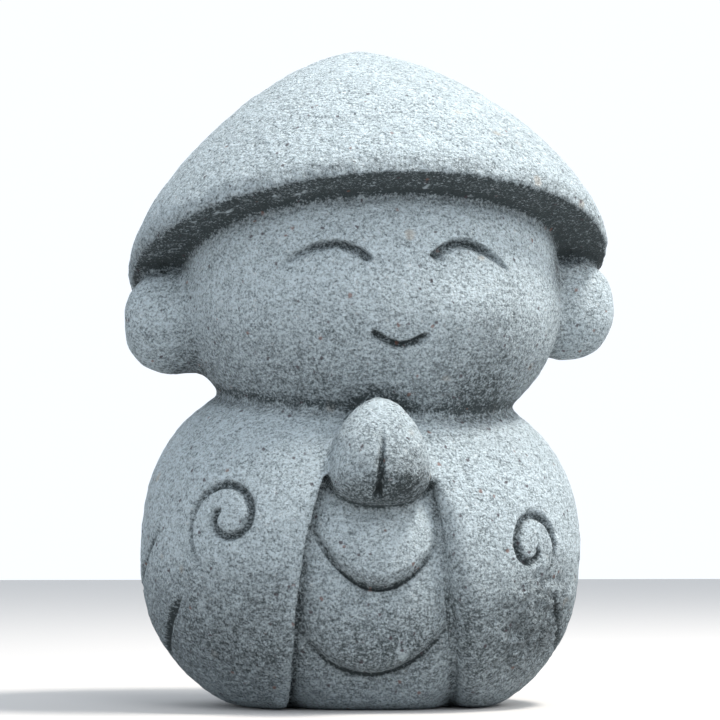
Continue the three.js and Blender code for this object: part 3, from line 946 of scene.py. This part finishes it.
# the dark that painted shade and a little wear mix towards
SHADE_AND_WEAR_DARK = (0.045, 0.061, 0.067, 1)
WHITE = (0.76, 0.81, 0.83, 1)
PLUM = (0.06, 0.045, 0.055, 1)
RUST = (0.2, 0.105, 0.085, 1)
SAND = (0.52, 0.48, 0.42, 1)
FLATTEN = (1.0, 1.0, 1.8)
BUMP_DEPTH = 0.55
fine = clouds(0.4, detail=3.0, rough=0.75)
patch = clouds(6.0, detail=3.0, rough=0.6)
crack = (clouds(2.4, detail=4.0, rough=0.6, where=ragged) - 0.5).math("ABSOLUTE").between(0.0, 0.05)
flat = stone.node("ShaderNodeVectorMath", dict(operation="MULTIPLY"), {0: ragged, 1: FLATTEN})
lumps = clouds(1.25, detail=4.0, rough=0.7, where=flat)
worn_here, under_here = painted("worn"), painted("under")
broken = worn_here * (1 - crack)
in_nook = painted("nook").between(0.1, 0.75)
# painted shade of grooves, nooks and undersides, with a little darkening where the stone is broken
shade_and_wear = 0.05 * broken + 1.3 * painted("groove") + 1.1 * in_nook + 1.15 * under_here
grainy = 3.0 * (fine - 0.5) + (1.6 + 0.35 * worn_here) * (lumps - 0.5)
colour = stone.blend(grainy + 0.5 * (patch - 0.5) + 0.76, PASTE, PALE)
colour = stone.blend(0.3 * grains(0.7, 0.06, 0.34), colour, WHITE)
colour = stone.blend(0.45 * grains(3.0, 0.02, 0.3), colour, SAND)
# painted shade and a little wear darken the colour, less on the palest grains
colour = stone.blend(shade_and_wear * (0.62 - 0.65 * grainy), colour, SHADE_AND_WEAR_DARK)
stain = clouds(3.0, detail=3.0).between(0.64, 0.74) * under_here
colour = stone.blend(0.45 * stain, colour, PALE)
colour = stone.blend(0.8 * grains(0.9, 0.03, 0.34), colour, PLUM)
colour = stone.blend(0.75 * grains(1.1, 0.02, 0.3), colour, RUST)
pits = 0.9 * grains(1.5, 0.12)
relief = 0.6 * fine + (3.2 + 1.2 * worn_here) * lumps - pits - 0.9 * broken
bump = {"Height": relief, "Distance": BUMP_DEPTH * MM, "Strength": 1.0}
bump = stone.node("ShaderNodeBump", None, bump)
stone.feed(stone.shader.inputs["Base Color"], colour)
stone.feed(stone.shader.inputs["Normal"], bump)
stone.feed(stone.shader.inputs["Roughness"], 0.86 + 0.1 * fine)
stone.shader.inputs["Specular IOR Level"].default_value = 0.3
figure.data.materials.append(stone.material)
print("nodes in the stone:", len(stone.tree.nodes))

# %% [markdown]
# ## Floor and light
# A plain pale floor runs far back, and the light is a studio's: a warm key high on the viewer's right, a
# weaker side light lower down on the same side, a wide soft fill from the front and an even pale surround.

# %% Floor and light
FLOOR_SIZE = 3000.0
FLOOR_GREY = (0.5, 0.5, 0.5, 1)
SURROUND = (0.98, 1.03, 1.09, 1)
floor_mesh = bpy.data.meshes.new("floor")
half = FLOOR_SIZE / 2 * MM
square = [(-half, -half, 0), (half, -half, 0), (half, half, 0), (-half, half, 0)]
floor_mesh.from_pydata(square, [], [(0, 1, 2, 3)])
floor = bpy.data.objects.new("floor", floor_mesh)
bpy.context.collection.objects.link(floor)
paper = Recipe("pale_paper")
paper.shader.inputs["Base Color"].default_value = FLOOR_GREY
paper.shader.inputs["Roughness"].default_value = 0.9
floor_mesh.materials.append(paper.material)


def softbox(name, bearing, rise, distance, size, watts, tint=(1, 1, 1)):
    """A round lamp that looks at the figure from a bearing and a rise."""
    light = bpy.data.lights.new(name, "AREA")
    light.shape = "DISK"
    light.size = size * MM
    light.energy = watts
    light.color = tint
    box = bpy.data.objects.new(name, light)
    bpy.context.collection.objects.link(box)
    aim(box, around(bearing, rise, distance), FIGURE_MIDDLE)


softbox("key", bearing=67, rise=65, distance=700, size=150, watts=6.6, tint=(1.0, 0.93, 0.85))
softbox("side", bearing=75, rise=35, distance=800, size=250, watts=2.5, tint=(1.0, 0.94, 0.87))
softbox("fill", bearing=10, rise=35, distance=800, size=400, watts=1.7)

world = bpy.data.worlds.new("surround")
world.use_nodes = True
world.node_tree.nodes["Background"].inputs["Color"].default_value = SURROUND
world.node_tree.nodes["Background"].inputs["Strength"].default_value = 1.0
bpy.context.scene.world = world
bpy.context.scene.view_settings.view_transform = "Standard"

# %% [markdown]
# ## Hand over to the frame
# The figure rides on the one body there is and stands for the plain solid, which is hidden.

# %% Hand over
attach(figure, "root")
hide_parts("jizo_statue")
